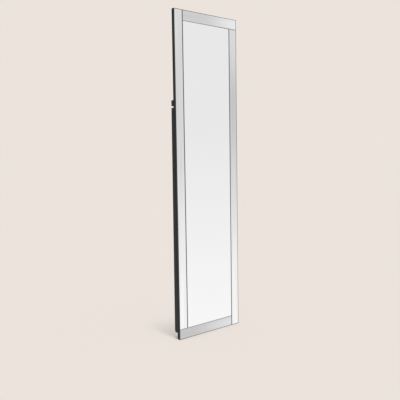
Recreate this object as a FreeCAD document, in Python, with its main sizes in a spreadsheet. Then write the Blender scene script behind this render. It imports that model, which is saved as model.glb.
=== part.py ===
"""Floor mirror with a folding stand.

Five silvered panes are taped to a black board: a centre pane and four border strips that go
round it like a pinwheel. A doweled frame hangs from two butt hinges behind the board and swings
back until its top edge meets the stop rail above it.

Frame: millimetres, +Z up, the glass faces -Y, origin on the floor under the middle of the box.
"""
import FreeCAD, Part
import math
import os
import re
import Sketcher

# Driving dimensions, each a cell of the sheet.
DIMENSIONS = {
    # Panes and board
    "panel_width": 400,
    "panel_height": 1600,
    "strip_width": 50,
    "glass_thickness": 5,
    "seam_gap": 1.4,
    "glass_bevel_width": 2.4,
    "glass_bevel_depth": 0.8,
    "tape_thickness": 1,
    "tape_width": 25,
    "tape_end_gap": 30,
    "tape_pitch": 90,
    "board_thickness": 12,
    "board_edge_radius": 1.5,
    # Stop rail and the stand below it
    "stop_rail_depth": 24,
    "stop_rail_height": 28,
    "stop_gap": 8.5,
    "stand_inset": 6,
    "stand_top": 1138.5,
    "stand_bottom": 28,
    "stile_width": 28,
    "stile_flare": 6,
    "top_rail_height": 48,
    "bottom_rail_height": 28,
    "bottom_rail_base": 75,
    "eased_edge": 1.5,
    # Dowels
    "dowel_diameter": 6,
    "dowel_length": 30,
    "dowel_clearance": 0.05,
    "dowel_spare_depth": 1,
    "top_dowel_margin": 12,
    "bottom_dowel_margin": 7.5,
    # Feet and bumpers
    "foot_height": 10,
    "foot_toe_radius": 8,
    "foot_chamfer": 1,
    "bumper_diameter": 20,
    "bumper_clearance": 0.3,
    "low_bumper_height": 145,
    "bumper_rise": 500,
    # Butt hinges
    "hinge_offset": 105,
    "hinge_length": 62,
    "hinge_gap": 5,
    "hinge_rise": 3.5,
    "knuckle_count": 5,
    "knuckle_clearance": 0.3,
    "leaf_thickness": 1.2,
    "leaf_set": 0.3,
    "leaf_bend_drop": 3,
    "leaf_drop": 22,
    "leaf_corner_radius": 2,
    "pin_diameter": 2.6,
    "pin_clearance": 0.05,
    "pin_end_chamfer": 0.3,
    # Screws
    "hinge_screw_pitch": 36,
    "hinge_screw_drop": 13,
    "hinge_screw_length": 10,
    "hinge_screw_shank": 3,
    "hinge_screw_head": 5.2,
    "stop_screw_pitch": 110,
    "stop_screw_length": 33,
    "stop_screw_shank": 4,
    "stop_screw_head": 8,
    "foot_screw_length": 26,
    "foot_screw_shank": 3.5,
    "foot_screw_head": 7,
    "foot_screw_sink": 2,
    "screw_clearance": 0.1,
    "screw_tip": 2,
    "recess_depth": 0.9,
    "recess_width": 0.8,
    "recess_share": 0.62,
}

# Places worked out from the driving dimensions.
DEPTH = "(glass_thickness + tape_thickness + board_thickness + stop_rail_depth + stile_flare)"
GLASS_BACK = f"(glass_thickness - {DEPTH} / 2)"
BOARD_FRONT = f"({GLASS_BACK} + tape_thickness)"
BOARD_BACK = f"({BOARD_FRONT} + board_thickness)"
STOP_RAIL_BACK = f"({BOARD_BACK} + stop_rail_depth)"
STAND_FRONT = f"({BOARD_BACK} + hinge_gap)"
STILE_DEPTH = "(stop_rail_depth - hinge_gap)"
FOOT_DEPTH = f"({STILE_DEPTH} + stile_flare)"
STILE_BASE = "(stand_bottom + foot_height)"
STAND_HALF = "(panel_width / 2 - stand_inset)"
RAIL_LENGTH = f"(2 * {STAND_HALF} - 2 * stile_width)"
STOP_RAIL_BASE = "(stand_top + stop_gap)"
HINGE_Y = f"({BOARD_BACK} + hinge_gap / 2)"
HINGE_Z = "(stand_top + hinge_rise)"
FOOT_SCREW_Y = f"(({FOOT_DEPTH} - foot_toe_radius) / 2)"
LEAF_FACE = "(hinge_gap / 2)"
LEAF_INNER = f"({LEAF_FACE} - leaf_thickness)"
KNUCKLE_RADIUS = f"({LEAF_FACE} - leaf_set)"
KNUCKLE_LENGTH = "(hinge_length / knuckle_count)"
DOWEL_HOLE = "(dowel_diameter / 2 + dowel_clearance)"
HINGE_SCREW_HOLE = "(hinge_screw_shank / 2 + screw_clearance)"
STOP_SCREW_HOLE = "(stop_screw_shank / 2 + screw_clearance)"
FOOT_SCREW_HOLE = "(foot_screw_shank / 2 + screw_clearance)"

SIDES = {"left": -1, "right": 1}
HINGE_SCREWS = (-0.5, 0.5)
STOP_SCREWS = (-1.5, -0.5, 0.5, 1.5)
RAILS = {
    "top": ("(stand_top - top_rail_height)", "top_rail_height", "top_dowel_margin"),
    "bottom": ("bottom_rail_base", "bottom_rail_height", "bottom_dowel_margin"),
}
NEAR = 1e-4

doc = FreeCAD.newDocument("floor_mirror")
sheet = doc.addObject("Spreadsheet::Sheet", "sizes")
for row, (alias, number) in enumerate(DIMENSIONS.items(), start=1):
    sheet.set(f"A{row}", alias)
    sheet.set(f"B{row}", str(number))
    sheet.setAlias(f"B{row}", alias)
doc.recompute()

subparts = []


def qualified(text):
    """An expression with each dimension's name pointed at its cell."""
    return re.sub("[a-z_]+", lambda word: f"sizes.{word[0]}" if word[0] in DIMENSIONS else word[0], text)


def value(text):
    """The present number of an expression, for a sketch's first guess and for finding edges."""
    return float(sheet.evalExpression(qualified(text)))


def bind(feature, path, text):
    feature.setExpression(path, qualified(text))


def new_body(label, x, y, z):
    """An empty sub-part whose own origin stands at the given place."""
    body = doc.addObject("PartDesign::Body", label)
    body.Label = label
    for axis, text in zip("xyz", (x, y, z)):
        bind(body, f"Placement.Base.{axis}", text)
    subparts.append(body)
    return body


def turn(body, axis, degrees):
    body.Placement.Rotation = FreeCAD.Rotation(axis, degrees)


def origin_feature(body, role):
    return next(feature for feature in body.Origin.OriginFeatures if feature.Role == role)


def sketch_on(body, role, offset=None):
    """A sketch on one of the body's origin planes, or that far in front of it."""
    sketch = body.newObject("Sketcher::SketchObject", f"{body.Label}_sketch")
    sketch.AttachmentSupport = (origin_feature(body, role), [""])
    sketch.MapMode = "FlatFace"
    if offset:
        bind(sketch, "AttachmentOffset.Base.z", offset)
    return sketch


def locate(sketch, line, end, x, y):
    """Hold one point of a sketch at x and y from its origin."""
    for kind, axis, text in (("DistanceX", -2, x), ("DistanceY", -1, y)):
        if text == "0":
            sketch.addConstraint(Sketcher.Constraint("PointOnObject", line, end, axis))
        else:
            index = sketch.addConstraint(Sketcher.Constraint(kind, -1, 1, line, end, value(text)))
            bind(sketch, f"Constraints[{index}]", text)


def draw_polygon(sketch, points):
    """A closed outline of straight lines through points given as pairs of expressions."""
    corners = [FreeCAD.Vector(value(x), value(y), 0) for x, y in points]
    first = sketch.GeometryCount
    for start, end in zip(corners, corners[1:] + corners[:1]):
        sketch.addGeometry(Part.LineSegment(start, end), False)
    for index, (x, y) in enumerate(points):
        before = first + (index - 1) % len(points)
        sketch.addConstraint(Sketcher.Constraint("Coincident", before, 2, first + index, 1))
        locate(sketch, first + index, 1, x, y)


def draw_rectangle(sketch, left, low, right, high):
    draw_polygon(sketch, [(left, low), (right, low), (right, high), (left, high)])


def draw_circle(sketch, x, y, radius):
    middle = FreeCAD.Vector(value(x), value(y), 0)
    circle = sketch.addGeometry(Part.Circle(middle, FreeCAD.Vector(0, 0, 1), value(radius)), False)
    locate(sketch, circle, 3, x, y)
    index = sketch.addConstraint(Sketcher.Constraint("Radius", circle, value(radius)))
    bind(sketch, f"Constraints[{index}]", radius)


def pad(body, sketch, length, reverse=False, symmetric=False):
    feature = body.newObject("PartDesign::Pad", f"{body.Label}_pad")
    feature.Profile = sketch
    feature.Reversed = reverse
    if symmetric:
        feature.SideType = "Symmetric"
    bind(feature, "Length", length)
    doc.recompute()
    return feature


def pocket(body, sketch, length, reverse=False, symmetric=False):
    """A cut that has to take something away, or its direction is wrong."""
    before = body.Shape.Volume
    feature = body.newObject("PartDesign::Pocket", f"{body.Label}_pocket")
    feature.Profile = sketch
    feature.Reversed = reverse
    if symmetric:
        feature.SideType = "Symmetric"
    bind(feature, "Length", length)
    doc.recompute()
    if body.Shape.Volume > before - NEAR:
        raise RuntimeError(f"a pocket of {body.Label} cuts nothing")
    return feature


def edges_where(feature, test):
    """The names of a feature's edges that pass a test."""
    names = [f"Edge{n}" for n, edge in enumerate(feature.Shape.Edges, start=1) if test(edge)]
    if not names:
        raise RuntimeError(f"no such edge on {feature.Label}")
    return names


def spans(edge, axis):
    """Whether an edge is a straight line along the axis."""
    box = edge.BoundBox
    lengths = {"x": box.XLength, "y": box.YLength, "z": box.ZLength}
    along = lengths.pop(axis)
    return along > NEAR and max(lengths.values()) < NEAR


def lies_at(edge, axis, place):
    """Whether the whole of an edge lies in the plane square to the axis at that place."""
    box = edge.BoundBox
    low, high = {"x": (box.XMin, box.XMax), "y": (box.YMin, box.YMax), "z": (box.ZMin, box.ZMax)}[axis]
    return abs(low - place) + abs(high - place) < NEAR


def is_rim(edge, radius, axis, place):
    """Whether an edge is a circle of that radius in the plane square to the axis at that place."""
    is_circle = isinstance(edge.Curve, Part.Circle) and abs(edge.Curve.Radius - radius) < NEAR
    return is_circle and lies_at(edge, axis, place)


def round_edges(body, feature, names, radius):
    fillet = body.newObject("PartDesign::Fillet", f"{body.Label}_fillet")
    fillet.Base = (feature, names)
    bind(fillet, "Radius", radius)
    doc.recompute()
    return fillet


def cut_corners(body, feature, names, size):
    chamfer = body.newObject("PartDesign::Chamfer", f"{body.Label}_chamfer")
    chamfer.Base = (feature, names)
    bind(chamfer, "Size", size)
    doc.recompute()
    return chamfer


def bevel_edges(body, feature, names, depth, width):
    """A bevel that takes the depth off the side of an edge and the width off its face."""
    bevel = body.newObject("PartDesign::Chamfer", f"{body.Label}_bevel")
    bevel.Base = (feature, names)
    bevel.ChamferType = "Two distances"
    bind(bevel, "Size", depth)
    bind(bevel, "Size2", width)
    doc.recompute()


def repeat(body, role, spacing, count):
    """The whole of a body so far, repeated along one of its axes."""
    pattern = body.newObject("PartDesign::LinearPattern", f"{body.Label}_pattern")
    pattern.TransformMode = "Whole shape"
    pattern.Direction = (origin_feature(body, role), [""])
    pattern.Mode = "Spacing"
    bind(pattern, "Offset", spacing)
    pattern.Occurrences = count
    body.Tip = pattern
    doc.recompute()
    return pattern


def mirror_whole(body, role):
    """The whole of a body so far, mirrored in one of its origin planes."""
    mirrored = body.newObject("PartDesign::Mirrored", f"{body.Label}_mirrored")
    mirrored.TransformMode = "Whole shape"
    mirrored.MirrorPlane = (origin_feature(body, role), [""])
    body.Tip = mirrored
    doc.recompute()
    return mirrored


def make_pane(label, left, low, right, high):
    """A pane of glass with a shallow bevel round its front. Its back lies on the tape."""
    body = new_body(label, "0", GLASS_BACK, "0")
    sketch = sketch_on(body, "XZ_Plane")
    draw_rectangle(sketch, left, low, right, high)
    glass = pad(body, sketch, "glass_thickness")
    front = -value("glass_thickness")
    rim = edges_where(glass, lambda edge: lies_at(edge, "y", front))
    bevel_edges(body, glass, rim, "glass_bevel_depth", "glass_bevel_width")


def make_panes():
    """The pinwheel: each strip starts at one neighbour's side and runs on past the next corner."""
    side, top = "panel_width / 2", "panel_height"
    inner = "(panel_width / 2 - strip_width - seam_gap / 2)"
    outer = "(panel_width / 2 - strip_width + seam_gap / 2)"
    under, over = "(strip_width - seam_gap / 2)", "(strip_width + seam_gap / 2)"
    make_pane("centre_mirror", f"-{inner}", over, inner, f"{top} - {over}")
    make_pane("left_mirror_strip", f"-{side}", over, f"-{outer}", top)
    make_pane("top_mirror_strip", f"-{inner}", f"{top} - {under}", side, top)
    make_pane("right_mirror_strip", outer, "0", side, f"{top} - {over}")
    make_pane("bottom_mirror_strip", f"-{side}", "0", inner, under)


def make_mounting_tape():
    """Runs of double-sided tape: three behind the centre pane and one behind each strip."""
    body = new_body("mounting_tape", "0", BOARD_FRONT, "0")
    sketch = sketch_on(body, "XZ_Plane")
    half, middle, end = "tape_width / 2", "strip_width / 2", "(strip_width + tape_end_gap)"
    for run in (-1, 0, 1):
        x = f"{run} * tape_pitch"
        draw_rectangle(sketch, f"{x} - {half}", end, f"{x} + {half}", f"panel_height - {end}")
    for side in (-1, 1):
        x = f"{side} * (panel_width / 2 - {middle})"
        draw_rectangle(sketch, f"{x} - {half}", end, f"{x} + {half}", f"panel_height - {end}")
    for z in (middle, f"panel_height - {middle}"):
        reach = f"(panel_width / 2 - {end})"
        draw_rectangle(sketch, f"-{reach}", f"{z} - {half}", reach, f"{z} + {half}")
    pad(body, sketch, "tape_thickness")


def hinge_screw_places():
    """Across the panel, the places of the screws in both hinges."""
    places = []
    for side in SIDES.values():
        places += [f"{side} * hinge_offset + {n} * hinge_screw_pitch" for n in HINGE_SCREWS]
    return places


def make_backing_board():
    """A board with eased back edges, except where it stands on the floor, and blind screw holes."""
    body = new_body("backing_board", "0", BOARD_BACK, "0")
    sketch = sketch_on(body, "XZ_Plane")
    draw_rectangle(sketch, "-panel_width / 2", "0", "panel_width / 2", "panel_height")
    slab = pad(body, sketch, "board_thickness")
    rim = edges_where(slab, lambda edge: lies_at(edge, "y", 0) and not lies_at(edge, "z", 0))
    round_edges(body, slab, rim, "board_edge_radius")

    holes = sketch_on(body, "XZ_Plane")
    for x in hinge_screw_places():
        draw_circle(holes, x, f"{HINGE_Z} - hinge_screw_drop", HINGE_SCREW_HOLE)
    pocket(body, holes, "hinge_screw_length", reverse=True)

    holes = sketch_on(body, "XZ_Plane")
    for n in STOP_SCREWS:
        middle = f"{STOP_RAIL_BASE} + stop_rail_height / 2"
        draw_circle(holes, f"{n} * stop_screw_pitch", middle, STOP_SCREW_HOLE)
    pocket(body, holes, "stop_screw_length - stop_rail_depth + screw_clearance", reverse=True)


def make_stop_rail():
    """The rail that the stand's top edge meets, with countersunk screw holes through it."""
    body = new_body("stop_rail", "0", BOARD_BACK, STOP_RAIL_BASE)
    sketch = sketch_on(body, "YZ_Plane")
    draw_rectangle(sketch, "0", "0", "stop_rail_depth", "stop_rail_height")
    bar = pad(body, sketch, f"2 * {STAND_HALF}", symmetric=True)
    back = value("stop_rail_depth")
    rim = edges_where(bar, lambda edge: lies_at(edge, "y", back))
    round_edges(body, bar, rim, "eased_edge")

    holes = sketch_on(body, "XZ_Plane")
    for n in STOP_SCREWS:
        draw_circle(holes, f"{n} * stop_screw_pitch", "stop_rail_height / 2", STOP_SCREW_HOLE)
    drilled = pocket(body, holes, "stop_rail_depth")
    mouths = edges_where(drilled, lambda edge: is_rim(edge, value(STOP_SCREW_HOLE), "y", back))
    cut_corners(body, drilled, mouths, "(stop_screw_head - stop_screw_shank) / 2")


def dowel_heights():
    """The height of every dowel, two to each rail."""
    heights = []
    for base, height, margin in RAILS.values():
        heights += [f"{base} + {margin}", f"{base} + {height} - {margin}"]
    return heights


def make_stile(label, side):
    """An upright of the stand, deeper at its foot, with eased long edges and dowel holes inside.

    Its top is cut back at the corner that comes nearest to the stop rail.
    """
    body = new_body(label, f"{side} * {RAIL_LENGTH} / 2", STAND_FRONT, STILE_BASE)
    height = f"(stand_top - {STILE_BASE})"
    sketch = sketch_on(body, "YZ_Plane")
    draw_polygon(sketch, [
        ("0", "0"),
        (FOOT_DEPTH, "0"),
        (STILE_DEPTH, f"{height} - eased_edge"),
        (f"{STILE_DEPTH} - eased_edge", height),
        ("0", height),
    ])
    upright = pad(body, sketch, "stile_width", reverse=side < 0)
    shortest = value(height) / 2
    round_edges(body, upright, edges_where(upright, lambda edge: edge.Length > shortest), "eased_edge")

    holes = sketch_on(body, "YZ_Plane")
    for z in dowel_heights():
        draw_circle(holes, f"{STILE_DEPTH} / 2", f"{z} - {STILE_BASE}", DOWEL_HOLE)
    pocket(body, holes, "dowel_length / 2 + dowel_spare_depth", reverse=side > 0)

    holes = sketch_on(body, "XY_Plane")
    draw_circle(holes, f"{side} * stile_width / 2", FOOT_SCREW_Y, FOOT_SCREW_HOLE)
    depth = "foot_screw_length + foot_screw_sink - foot_height + screw_clearance"
    pocket(body, holes, depth, reverse=True)


def make_rail(name, base, height, margin):
    """A cross rail of the stand, with eased long edges and dowel holes in both ends."""
    body = new_body(f"stand_{name}_rail", "0", STAND_FRONT, base)
    sketch = sketch_on(body, "YZ_Plane")
    draw_rectangle(sketch, "0", "0", STILE_DEPTH, height)
    bar = pad(body, sketch, RAIL_LENGTH, symmetric=True)
    round_edges(body, bar, edges_where(bar, lambda edge: spans(edge, "x")), "eased_edge")

    for end, reverse in ((f"{RAIL_LENGTH} / 2", False), (f"-{RAIL_LENGTH} / 2", True)):
        holes = sketch_on(body, "YZ_Plane", end)
        for z in (margin, f"{height} - {margin}"):
            draw_circle(holes, f"{STILE_DEPTH} / 2", z, DOWEL_HOLE)
        pocket(body, holes, "dowel_length / 2 + dowel_spare_depth", reverse)

    if name == "top":
        holes = sketch_on(body, "XZ_Plane")
        for x in hinge_screw_places():
            z = f"{HINGE_Z} - hinge_screw_drop - {base}"
            draw_circle(holes, x, z, HINGE_SCREW_HOLE)
        pocket(body, holes, "hinge_screw_length")


def make_stand_frame():
    for name, side in SIDES.items():
        make_stile(f"stand_{name}_stile", side)
    for name, (base, height, margin) in RAILS.items():
        make_rail(name, base, height, margin)


def make_dowels():
    """The dowels of both ends of every rail, half in the rail and half in the stile."""
    body = new_body("stand_dowels", "0", f"{STAND_FRONT} + {STILE_DEPTH} / 2", "0")
    sketch = sketch_on(body, "YZ_Plane", f"{RAIL_LENGTH} / 2")
    for z in dowel_heights():
        draw_circle(sketch, "0", z, "dowel_diameter / 2")
    pad(body, sketch, "dowel_length", symmetric=True)
    mirror_whole(body, "YZ_Plane")


def make_foot(label, side):
    """A rubber end block with a rounded toe, so that the sole rolls down as the stand opens."""
    body = new_body(label, f"{side} * {RAIL_LENGTH} / 2", STAND_FRONT, "stand_bottom")
    sketch = sketch_on(body, "YZ_Plane")
    draw_rectangle(sketch, "0", "0", FOOT_DEPTH, "foot_height")
    block = pad(body, sketch, "stile_width", reverse=side < 0)
    depth, height = value(FOOT_DEPTH), value("foot_height")
    toe = edges_where(block, lambda edge: lies_at(edge, "y", depth) and lies_at(edge, "z", 0))
    rolled = round_edges(body, block, toe, "foot_toe_radius")
    rim = edges_where(rolled, lambda edge: not spans(edge, "x") and not lies_at(edge, "z", height))
    cut_corners(body, rolled, rim, "foot_chamfer")

    middle = f"{side} * stile_width / 2"
    holes = sketch_on(body, "XY_Plane")
    draw_circle(holes, middle, FOOT_SCREW_Y, FOOT_SCREW_HOLE)
    pocket(body, holes, "foot_height", reverse=True)
    sink = sketch_on(body, "XY_Plane")
    draw_circle(sink, middle, FOOT_SCREW_Y, "foot_screw_head / 2 + 3 * screw_clearance")
    drilled = pocket(body, sink, "foot_screw_sink", reverse=True)
    floor = value("foot_screw_sink")
    step = edges_where(drilled, lambda edge: is_rim(edge, value(FOOT_SCREW_HOLE), "z", floor))
    cut_corners(body, drilled, step, "(foot_screw_head - foot_screw_shank) / 2")


def make_bumpers():
    """Felt discs on the front of the stiles, which keep the folded stand off the board."""
    pitch = f"{RAIL_LENGTH} + stile_width"
    body = new_body("stand_bumpers", f"-({pitch}) / 2", STAND_FRONT, "low_bumper_height")
    sketch = sketch_on(body, "XZ_Plane")
    draw_circle(sketch, "0", "0", "bumper_diameter / 2")
    pad(body, sketch, "hinge_gap - bumper_clearance")
    repeat(body, "X_Axis", pitch, 2)
    repeat(body, "Z_Axis", "bumper_rise", 2)


def draw_leaf_profile(sketch, side):
    """A plate that bends in a little and runs into a full barrel round the hinge axis.

    The bend holds the barrel clear of the face that the plate is screwed to.
    """
    radius, inner = value(KNUCKLE_RADIUS), value(LEAF_INNER)
    join = -math.sqrt(radius**2 - inner**2)
    outer_low = FreeCAD.Vector(side * value(LEAF_FACE), -value("leaf_drop"), 0)
    outer_bend = FreeCAD.Vector(side * value(LEAF_FACE), -value("leaf_bend_drop"), 0)
    outer_high = FreeCAD.Vector(side * radius, 0, 0)
    inner_high = FreeCAD.Vector(side * inner, join, 0)
    inner_low = FreeCAD.Vector(side * inner, -value("leaf_drop"), 0)
    outer_line = sketch.addGeometry(Part.LineSegment(outer_low, outer_bend), False)
    bend_line = sketch.addGeometry(Part.LineSegment(outer_bend, outer_high), False)
    inner_line = sketch.addGeometry(Part.LineSegment(inner_high, inner_low), False)
    low_line = sketch.addGeometry(Part.LineSegment(inner_low, outer_low), False)
    join_angle = math.atan2(join, side * inner)
    turn_from, turn_to = (0, join_angle + 2 * math.pi) if side > 0 else (join_angle, math.pi)
    ring = Part.Circle(FreeCAD.Vector(0, 0, 0), FreeCAD.Vector(0, 0, 1), radius)
    barrel = sketch.addGeometry(Part.ArcOfCircle(ring, turn_from, turn_to), False)
    outer_end, inner_end = (1, 2) if side > 0 else (2, 1)
    for constraint in (
        ("Coincident", barrel, 3, -1, 1),
        ("Coincident", outer_line, 2, bend_line, 1),
        ("Coincident", bend_line, 2, barrel, outer_end),
        ("PointOnObject", bend_line, 2, -1),
        ("Coincident", inner_line, 1, barrel, inner_end),
        ("Coincident", inner_line, 2, low_line, 1),
        ("Coincident", low_line, 2, outer_line, 1),
        ("Vertical", inner_line),
        ("Horizontal", low_line),
    ):
        sketch.addConstraint(Sketcher.Constraint(*constraint))
    index = sketch.addConstraint(Sketcher.Constraint("Radius", barrel, radius))
    bind(sketch, f"Constraints[{index}]", KNUCKLE_RADIUS)
    index = sketch.addConstraint(Sketcher.Constraint("Distance", low_line, value("leaf_thickness")))
    bind(sketch, f"Constraints[{index}]", "leaf_thickness")
    locate(sketch, outer_line, 1, f"{side} * {LEAF_FACE}", "-leaf_drop")
    locate(sketch, outer_line, 2, f"{side} * {LEAF_FACE}", "-leaf_bend_drop")
    draw_circle(sketch, "0", "0", "pin_diameter / 2 + pin_clearance")


def make_leaf(label, hinge_side, side, gaps):
    """One leaf of a closed butt hinge, with gaps in its barrel for the other leaf's knuckles."""
    body = new_body(label, f"{hinge_side} * hinge_offset", HINGE_Y, HINGE_Z)
    sketch = sketch_on(body, "YZ_Plane")
    draw_leaf_profile(sketch, side)
    blank = pad(body, sketch, "hinge_length", symmetric=True)
    low = -value("leaf_drop")
    corners = edges_where(blank, lambda edge: spans(edge, "y") and lies_at(edge, "z", low))
    round_edges(body, blank, corners, "leaf_corner_radius")

    notches = sketch_on(body, "XZ_Plane")
    reach = f"({KNUCKLE_RADIUS} + knuckle_clearance)"
    for n in gaps:
        left = f"{n} * {KNUCKLE_LENGTH} - hinge_length / 2 - knuckle_clearance / 2"
        right = f"{n + 1} * {KNUCKLE_LENGTH} - hinge_length / 2 + knuckle_clearance / 2"
        draw_rectangle(notches, left, f"-{reach}", right, reach)
    pocket(body, notches, "2 * hinge_gap", symmetric=True)

    holes = sketch_on(body, "XZ_Plane")
    for n in HINGE_SCREWS:
        draw_circle(holes, f"{n} * hinge_screw_pitch", "-hinge_screw_drop", HINGE_SCREW_HOLE)
    drilled = pocket(body, holes, "2 * hinge_gap", symmetric=True)
    face = side * value(LEAF_INNER)
    mouths = edges_where(drilled, lambda edge: is_rim(edge, value(HINGE_SCREW_HOLE), "y", face))
    cut_corners(body, drilled, mouths, "(hinge_screw_head - hinge_screw_shank) / 2")


def make_pin(label, hinge_side):
    """The pin through both leaves' knuckles, with its ends chamfered."""
    body = new_body(label, f"{hinge_side} * hinge_offset", HINGE_Y, HINGE_Z)
    sketch = sketch_on(body, "YZ_Plane")
    draw_circle(sketch, "0", "0", "pin_diameter / 2")
    rod = pad(body, sketch, "hinge_length", symmetric=True)
    ends = edges_where(rod, lambda edge: not spans(edge, "x"))
    cut_corners(body, rod, ends, "pin_end_chamfer")


def make_hinges():
    """Two closed butt hinges on one axis: the front leaf on the board, the back one on the stand."""
    all_knuckles = range(DIMENSIONS["knuckle_count"])
    for name, hinge_side in SIDES.items():
        make_leaf(f"{name}_hinge_fixed_leaf", hinge_side, -1, all_knuckles[1::2])
        make_leaf(f"{name}_hinge_moving_leaf", hinge_side, 1, all_knuckles[0::2])
        make_pin(f"{name}_hinge_pin", hinge_side)


def make_screw(label, x, y, z, kind):
    """A countersunk screw with a cross recess. Its head faces +Y of its own frame."""
    body = new_body(label, x, y, z)
    head, shank = f"{kind}_head / 2", f"{kind}_shank / 2"
    sketch = sketch_on(body, "XY_Plane")
    draw_polygon(sketch, [
        ("0", "0"),
        (head, "0"),
        (shank, f"{shank} - {head}"),
        (shank, f"screw_tip - {kind}_length"),
        ("0", f"-{kind}_length"),
    ])
    turned = body.newObject("PartDesign::Revolution", f"{label}_turned")
    turned.Profile = sketch
    turned.ReferenceAxis = (origin_feature(body, "Y_Axis"), [""])
    turned.Angle = 360
    doc.recompute()

    recess = sketch_on(body, "XZ_Plane")
    arm, half = f"recess_share * {head}", "recess_width / 2"
    draw_polygon(recess, [
        (half, half), (arm, half), (arm, f"-{half}"), (half, f"-{half}"),
        (half, f"-{arm}"), (f"-{half}", f"-{arm}"), (f"-{half}", f"-{half}"), (f"-{arm}", f"-{half}"),
        (f"-{arm}", half), (f"-{half}", half), (f"-{half}", arm), (half, arm),
    ])
    pocket(body, recess, "recess_depth", reverse=True)
    return body


def make_hinge_screws():
    """Into the board from behind, and into the stand's top rail from the front."""
    last = "(hinge_offset + hinge_screw_pitch / 2)"
    height = f"{HINGE_Z} - hinge_screw_drop"
    fixed_face, moving_face = f"{BOARD_BACK} + leaf_thickness", f"{STAND_FRONT} - leaf_thickness"
    fixed = make_screw("fixed_leaf_screws", f"-{last}", fixed_face, height, "hinge_screw")
    moving = make_screw("moving_leaf_screws", last, moving_face, height, "hinge_screw")
    turn(moving, FreeCAD.Vector(0, 0, 1), 180)
    for body in (fixed, moving):
        repeat(body, "X_Axis", "hinge_screw_pitch", len(HINGE_SCREWS))
        repeat(body, "X_Axis", "2 * hinge_offset", len(SIDES))


def make_stop_rail_screws():
    """Through the stop rail into the board, with their heads flush in the rail's back."""
    first = f"{STOP_SCREWS[0]} * stop_screw_pitch"
    middle = f"{STOP_RAIL_BASE} + stop_rail_height / 2"
    body = make_screw("stop_rail_screws", first, STOP_RAIL_BACK, middle, "stop_screw")
    repeat(body, "X_Axis", "stop_screw_pitch", len(STOP_SCREWS))


def make_foot_screws():
    """Up through each foot into the end of its stile, with the head sunk in the sole."""
    pitch = f"{RAIL_LENGTH} + stile_width"
    y, z = f"{STAND_FRONT} + {FOOT_SCREW_Y}", "stand_bottom + foot_screw_sink"
    body = make_screw("foot_screws", f"-({pitch}) / 2", y, z, "foot_screw")
    turn(body, FreeCAD.Vector(1, 0, 0), -90)
    repeat(body, "X_Axis", pitch, len(SIDES))


def check_and_write():
    """Write one file for each sub-part, after every feature and every solid has been found sound."""
    doc.recompute()
    for feature in doc.Objects:
        if {"Invalid", "Error"} & set(feature.State):
            raise RuntimeError(f"{feature.Label} failed: {feature.State}")
    for body in subparts:
        if body.Shape.isNull() or not body.Shape.isValid() or not body.Shape.Solids:
            raise RuntimeError(f"{body.Label} is not a sound solid")
    os.makedirs("parts", exist_ok=True)
    for body in subparts:
        body.Shape.exportStep(f"parts/{body.Label}.step")
    print(f"{len(subparts)} sub-parts written")


make_panes()
make_mounting_tape()
make_backing_board()
make_stop_rail()
make_stand_frame()
make_dowels()
for name, side in SIDES.items():
    make_foot(f"stand_{name}_foot", side)
make_bumpers()
make_hinges()
make_hinge_screws()
make_stop_rail_screws()
make_foot_screws()
check_and_write()
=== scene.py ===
"""Finishes, felt bumpers and a plain stage for a floor mirror with a folding stand.

The packed solids are the frame. Each keeps its shape and place and gets a finish of its own, the
felt bumpers are made again with a nap, and a pale studio is set round the mirror.
"""
import math

import bpy
import numpy as np
from mathutils import Matrix, Vector


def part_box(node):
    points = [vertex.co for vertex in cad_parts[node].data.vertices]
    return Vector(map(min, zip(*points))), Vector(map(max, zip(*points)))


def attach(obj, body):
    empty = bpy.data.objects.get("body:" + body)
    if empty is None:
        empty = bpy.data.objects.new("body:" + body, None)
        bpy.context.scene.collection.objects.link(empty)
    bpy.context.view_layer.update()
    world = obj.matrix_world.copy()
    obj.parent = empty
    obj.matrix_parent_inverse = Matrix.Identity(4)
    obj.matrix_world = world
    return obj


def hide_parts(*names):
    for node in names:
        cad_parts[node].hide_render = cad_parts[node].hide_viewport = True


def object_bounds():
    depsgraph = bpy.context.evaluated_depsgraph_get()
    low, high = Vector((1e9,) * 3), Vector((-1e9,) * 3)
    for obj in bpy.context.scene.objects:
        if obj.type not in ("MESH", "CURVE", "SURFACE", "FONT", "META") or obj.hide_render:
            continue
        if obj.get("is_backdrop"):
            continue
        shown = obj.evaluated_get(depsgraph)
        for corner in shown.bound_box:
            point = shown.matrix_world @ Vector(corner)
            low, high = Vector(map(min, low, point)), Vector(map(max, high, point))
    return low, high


bl_info = {
    "name": "Floor mirror finishes",
    "version": (1, 0, 0),
    "blender": (4, 5, 0),
    "location": "View3D > Sidebar > Floor mirror",
    "description": "Dresses a floor mirror with a folding stand and sets it in a plain studio",
    "category": "Object",
}

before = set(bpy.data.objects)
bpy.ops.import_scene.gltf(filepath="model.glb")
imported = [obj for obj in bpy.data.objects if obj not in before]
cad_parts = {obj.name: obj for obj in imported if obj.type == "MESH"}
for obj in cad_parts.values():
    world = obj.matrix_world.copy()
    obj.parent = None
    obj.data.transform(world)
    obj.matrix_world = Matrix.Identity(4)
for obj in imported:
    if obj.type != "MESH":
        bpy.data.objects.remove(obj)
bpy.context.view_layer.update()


# Nodes that share a finish

UPRIGHT_STRIPS = ("left_mirror_strip", "right_mirror_strip")
LEVEL_STRIPS = ("top_mirror_strip", "bottom_mirror_strip")
UPRIGHT_TIMBER = ("stand_left_stile", "stand_right_stile")
LEVEL_TIMBER = ("stop_rail", "stand_top_rail", "stand_bottom_rail")
HINGE_LEAVES = (
    "left_hinge_fixed_leaf", "left_hinge_moving_leaf",
    "right_hinge_fixed_leaf", "right_hinge_moving_leaf",
)
HINGE_PINS = ("left_hinge_pin", "right_hinge_pin")
SCREWS = ("fixed_leaf_screws", "moving_leaf_screws", "stop_rail_screws", "foot_screws")
FEET = ("stand_left_foot", "stand_right_foot")


# Pattern sizes, in repeats to the metre: the same all round, or along X, Y and Z

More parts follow.
